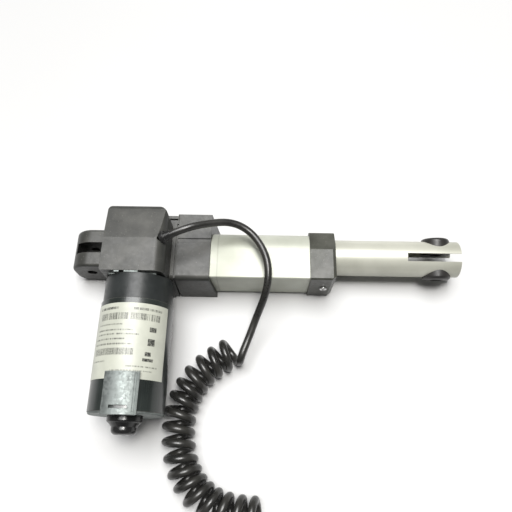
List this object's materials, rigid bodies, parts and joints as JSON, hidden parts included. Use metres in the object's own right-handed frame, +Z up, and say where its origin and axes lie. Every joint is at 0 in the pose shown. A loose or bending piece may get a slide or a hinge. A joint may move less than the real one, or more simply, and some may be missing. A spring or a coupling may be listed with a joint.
{
  "type": "linear actuator",
  "caption": "Electric linear actuator: a side motor with worm gear drives a screw that moves a slotted push tube out of an aluminium profile, with a curly cord and plug.",
  "frame": {"origin": "centre of the rear clevis pin bore, on the axis of the push tube", "axes": "+X along the push tube's stroke, +Y along the rear pin away from the motor, +Z up, away from the table that it lies on"},
  "size_m": [0.3217, 0.3188, 0.0714],
  "materials": {
    "black_plastic": "moulded, fine grain",
    "gloss_black": "gloss",
    "black_paint": "satin black paint",
    "anodised": "satin anodised",
    "tube_alu": "satin, drawn",
    "galvanised": "galvanised",
    "zinc_steel": "zinc plated",
    "steel": "ground",
    "fork_plastic": "satin",
    "acetal": "satin",
    "bronze": "sintered",
    "copper": "satin",
    "ferrite": "ceramic",
    "carbon": "pressed",
    "label": "plain foil label",
    "board": "lacquered",
    "seal_rubber": "satin",
    "cord": "smooth sheath",
    "nickel": "nickel plated",
    "contact": "plated"
  },
  "bodies": {
    "root": {"rear_clevis": "black_plastic", "gearbox_housing": "black_plastic", "gearbox_cover": "black_plastic", "cover_screws": "zinc_steel", "motor_plate": "galvanised", "motor_collar": "black_plastic", "motor_can": "black_paint", "motor_end_plate": "galvanised", "motor_end_boss": "gloss_black", "motor_label": "label", "motor_clip": "galvanised", "magnets": "ferrite", "brush_holder": "black_plastic", "carbon_brushes": "carbon", "brush_springs": "zinc_steel", "motor_front_bearing": "steel", "motor_rear_bush": "bronze", "worm_end_bush": "bronze", "bearing_outer_race": "steel", "bearing_retainer": "steel", "rear_spindle_bush": "bronze", "profile_adapter": "black_plastic", "adapter_screws": "zinc_steel", "outer_profile": "anodised", "end_cap": "black_plastic", "end_cap_screws": "zinc_steel", "guide_bush": "acetal", "wiper_seal": "seal_rubber", "switch_board": "board", "limit_switches": "black_plastic", "cable_grommet": "gloss_black", "cord_lead": "cord", "cord_curl": "cord", "cord_tail": "cord", "cord_coil": "cord", "plug_lead": "cord", "plug_boot": "cord", "plug_body": "gloss_black", "plug_shell": "nickel", "plug_pins": "contact"},
    "rotor": {"motor_shaft": "steel", "armature_core": "steel", "windings": "copper", "commutator": "copper"},
    "spindle": {"lead_screw": "steel", "worm_wheel": "acetal", "bearing_inner_race": "steel", "bearing_balls": "steel", "spindle_stop": "zinc_steel"},
    "carriage": {"spindle_nut": "acetal"},
    "tube": {"push_tube": "tube_alu", "fork_prongs": "tube_alu", "fork_bushes": "fork_plastic"}
  },
  "joints": [
    {"name": "motor_spin", "type": "hinge", "parent": "root", "child": "rotor", "pos_m": [0.047, 0, 0.02], "axis": [0, 1, 0], "range_deg": [-67280, 37120]},
    {"name": "spindle_spin", "type": "hinge", "parent": "root", "child": "spindle", "pos_m": [0, 0, 0], "axis": [1, 0, 0], "range_deg": [-2320.01, 1280.01]},
    {"name": "stroke", "type": "slide", "parent": "root", "child": "carriage", "axis": [1, 0, 0], "range_m": [-0.058, 0.032]},
    {"name": "tube_turn", "type": "hinge", "parent": "carriage", "child": "tube", "pos_m": [0, 0, 0], "axis": [1, 0, 0], "range_deg": [-90, 90]}
  ],
  "couplings": [
    {"joint": "spindle_spin", "follows": "motor_spin", "ratio": 0.034483},
    {"joint": "stroke", "follows": "motor_spin", "m_per_rad": 0.000049393}
  ]
}
